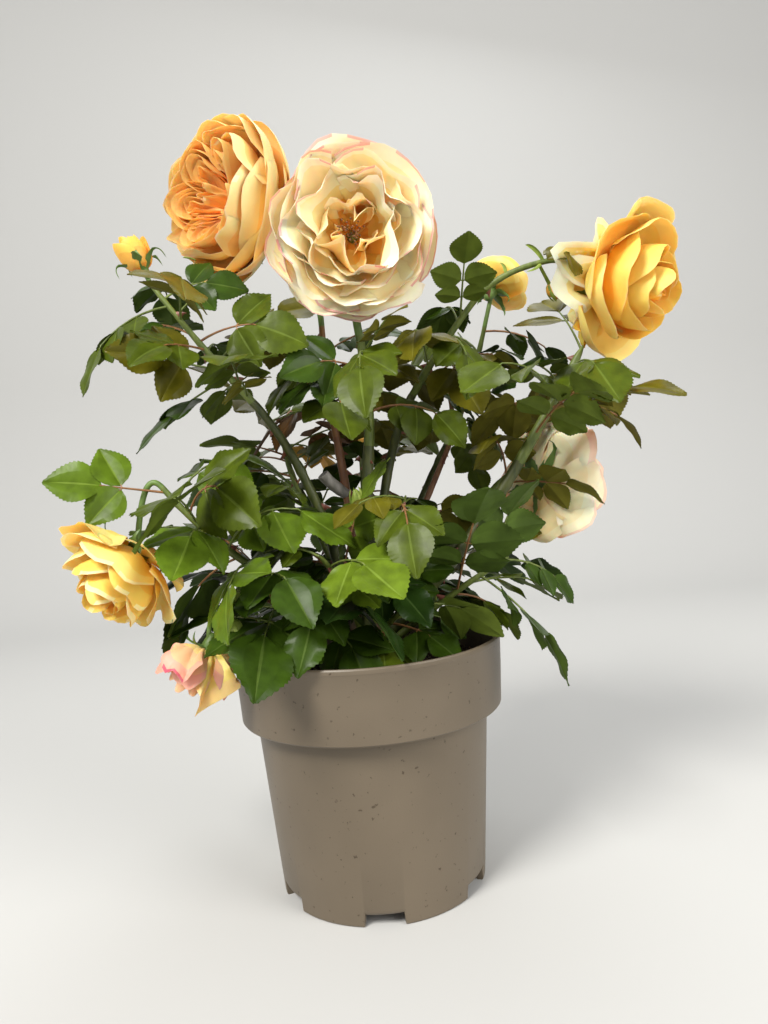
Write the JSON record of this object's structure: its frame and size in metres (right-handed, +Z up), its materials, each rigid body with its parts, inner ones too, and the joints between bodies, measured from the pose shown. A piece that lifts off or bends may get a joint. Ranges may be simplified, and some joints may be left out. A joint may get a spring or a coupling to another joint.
{
  "type": "potted rose bush",
  "caption": "Bushy rose with green canes, compound leaves, large apricot, cream and yellow blooms and a bud, in a round nursery pot filled with compost.",
  "frame": {"origin": "centre of the pot's flat underside", "axes": "+Z up along the pot, -Y towards the front, where the cream bloom looks, +X to the right seen from there"},
  "size_m": [0.4861, 0.3451, 0.605],
  "materials": {
    "pot": "satin taupe plastic",
    "compost": "rough brown fibrous compost",
    "rootstock": "rough brown bark",
    "cane": "satin olive green bark with thorns",
    "red_cane": "satin red-brown bark with thorns",
    "leaf": "glossy dark green",
    "young_leaf": "glossy bright green",
    "cream_petal": "matt cream with apricot heart",
    "apricot_petal": "matt apricot orange",
    "yellow_petal": "matt golden yellow",
    "blush_petal": "matt pale cream pink",
    "faded_petal": "matt faded pink and brown"
  },
  "bodies": {
    "root": {"bloom_back": "yellow_petal", "bloom_faded": "faded_petal", "bloom_front": "cream_petal", "bloom_low_left": "yellow_petal", "bloom_rear_right": "blush_petal", "bloom_right": "yellow_petal", "bloom_upper_left": "apricot_petal", "bud_left": "yellow_petal", "cane_arching": "cane", "cane_arching_end": "cane", "cane_back": "cane", "cane_back_left": "cane", "cane_back_right": "cane", "cane_centre": "cane", "cane_inner_left": "cane", "cane_low_left": "cane", "cane_red_right": "red_cane", "cane_right": "cane", "cane_right_rear": "cane", "cane_upper_left": "cane", "compost": "compost", "leaves_arching": "leaf", "leaves_arching_end": "leaf", "leaves_back": "leaf", "leaves_back_left": "leaf", "leaves_back_right": "leaf", "leaves_centre": "leaf", "leaves_front": "leaf", "leaves_front_left": "leaf", "leaves_front_right": "leaf", "leaves_inner_left": "leaf", "leaves_inner_right": "leaf", "leaves_low_back_left": "leaf", "leaves_low_back_right": "leaf", "leaves_low_left": "young_leaf", "leaves_low_right": "leaf", "leaves_lowest_left": "leaf", "leaves_mid_left": "leaf", "leaves_red_right": "leaf", "leaves_right": "leaf", "leaves_right_rear": "leaf", "leaves_upper_left": "leaf", "pot": "pot", "rootstock": "rootstock"}
  },
  "joints": []
}
